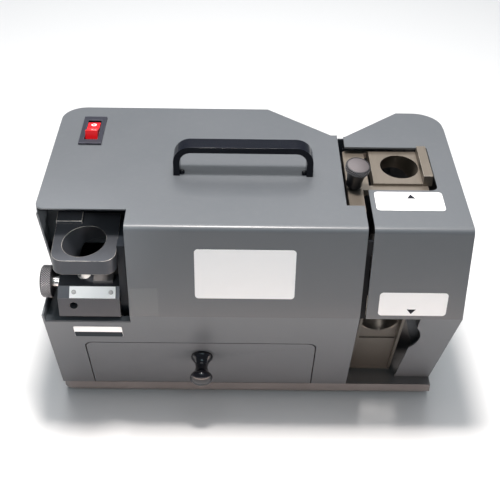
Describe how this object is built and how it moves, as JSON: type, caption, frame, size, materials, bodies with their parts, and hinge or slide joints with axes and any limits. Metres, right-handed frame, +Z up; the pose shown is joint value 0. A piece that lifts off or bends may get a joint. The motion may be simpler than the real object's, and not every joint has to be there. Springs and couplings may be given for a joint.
{
  "type": "drill bit sharpener",
  "caption": "Bench drill bit sharpener in a sheet-metal housing with a point grinding station, web-thinning stations on the right, a rocker switch, a carrying handle and a storage drawer.",
  "frame": {"origin": "centre of the overall box, on the floor under the rubber feet", "axes": "+Z up, +X to the right as the user faces the machine, -Y towards the user, where the drawer knob is"},
  "size_m": [0.4544, 0.257, 0.3232],
  "materials": {
    "cover_paint": "satin bluish grey powder coat",
    "base_steel": "dull rolled plate",
    "frame_steel": "plain machined",
    "dark_steel": "blued and oiled",
    "tan_steel": "yellow passivated, ground",
    "bright_steel": "polished",
    "knurled_steel": "knurled and turned",
    "black_plastic": "fine textured",
    "gloss_black": "polished",
    "bezel_plastic": "satin",
    "red_plastic": "translucent gloss",
    "label_white": "matt printed film",
    "plate_white": "satin enamel",
    "foot_rubber": "matt",
    "liner_grey": "matt grey-black coat",
    "tray_grey": "matt coat",
    "motor_paint": "semi-gloss enamel",
    "bell_aluminium": "as cast",
    "stack_steel": "varnished laminations",
    "rotor_aluminium": "turned",
    "wheel_grit": "coarse bonded grit",
    "capacitor_can": "smooth"
  },
  "bodies": {
    "machine": {"base_plate": "base_steel", "rubber_feet": "foot_rubber", "foot_screws": "bright_steel", "main_cover": "cover_paint", "right_cover": "cover_paint", "station_liner": "liner_grey", "cover_screws": "bright_steel", "carry_handle": "black_plastic", "handle_screws": "bright_steel", "switch_bezel": "bezel_plastic", "switch_body": "black_plastic", "power_inlet": "black_plastic", "inlet_screws": "bright_steel", "label_front": "label_white", "label_upper_shelf": "label_white", "label_lower_shelf": "label_white", "label_wheel": "label_white", "drawer_runners": "frame_steel", "point_guide_block": "dark_steel", "guide_stop_lug": "dark_steel", "setting_block": "dark_steel", "setting_plate": "plate_white", "setting_plate_screws": "bright_steel", "stop_pad": "bright_steel", "point_station_bracket": "liner_grey", "point_station_screws": "bright_steel", "upper_shelf_bracket": "tan_steel", "upper_shelf_guide": "tan_steel", "upper_shelf_stop_bar": "tan_steel", "upper_shelf_screws": "bright_steel", "partition_plate": "liner_grey", "shaft_support_bearing": "bright_steel", "lower_shelf_guide": "tan_steel", "lower_shelf_screws": "bright_steel", "cover_tie_bar": "liner_grey", "chassis_shelf": "frame_steel", "chassis_bolts": "bright_steel", "motor_saddles": "frame_steel", "motor_housing": "motor_paint", "motor_end_bells": "bell_aluminium", "motor_bearings": "bright_steel", "motor_stator": "stack_steel", "fan_cowl": "tray_grey", "run_capacitor": "capacitor_can"},
    "rocker": {"switch_rocker": "red_plastic"},
    "drawer": {"drawer_front": "cover_paint", "drawer_tray": "tray_grey", "drawer_knob": "gloss_black", "drawer_knob_screw": "bright_steel"},
    "setting_screw": {"setting_knob": "knurled_steel", "setting_spindle": "bright_steel"},
    "setting_slide": {"setting_slide": "dark_steel"},
    "clamp_screw": {"shelf_clamp_screw": "knurled_steel"},
    "drive": {"motor_rotor": "rotor_aluminium", "motor_shaft": "bright_steel", "cooling_fan": "black_plastic", "point_wheel": "wheel_grit", "thinning_wheel": "wheel_grit", "wheel_flanges": "frame_steel", "wheel_nuts": "bright_steel"}
  },
  "joints": [
    {"name": "rocker_tilt", "type": "hinge", "parent": "machine", "child": "rocker", "pos_m": [-0.1846, 0.0675, 0.285], "axis": [1, 0, 0], "range_deg": [0, 24]},
    {"name": "drawer_slide", "type": "slide", "parent": "machine", "child": "drawer", "axis": [0, -1, 0], "range_m": [0, 0.12]},
    {"name": "setting_turn", "type": "hinge", "parent": "machine", "child": "setting_screw", "pos_m": [-0.2205, -0.0928, 0.193], "axis": [1, 0, 0], "range_deg": [-540, 540]},
    {"name": "setting_travel", "type": "slide", "parent": "machine", "child": "setting_slide", "axis": [1, 0, 0], "range_m": [-0.003, 0.003]},
    {"name": "clamp_turn", "type": "hinge", "parent": "machine", "child": "clamp_screw", "pos_m": [0.1086, -0.0322, 0.279], "axis": [0.1032, -0.1564, 0.9823], "range_deg": [0, 270]},
    {"name": "drive_spin", "type": "hinge", "parent": "machine", "child": "drive", "pos_m": [0, 0.0205, 0.153], "axis": [1, 0, 0], "continuous": true}
  ],
  "couplings": [
    {"joint": "setting_travel", "follows": "setting_turn", "m_per_rad": 0.0003183}
  ]
}
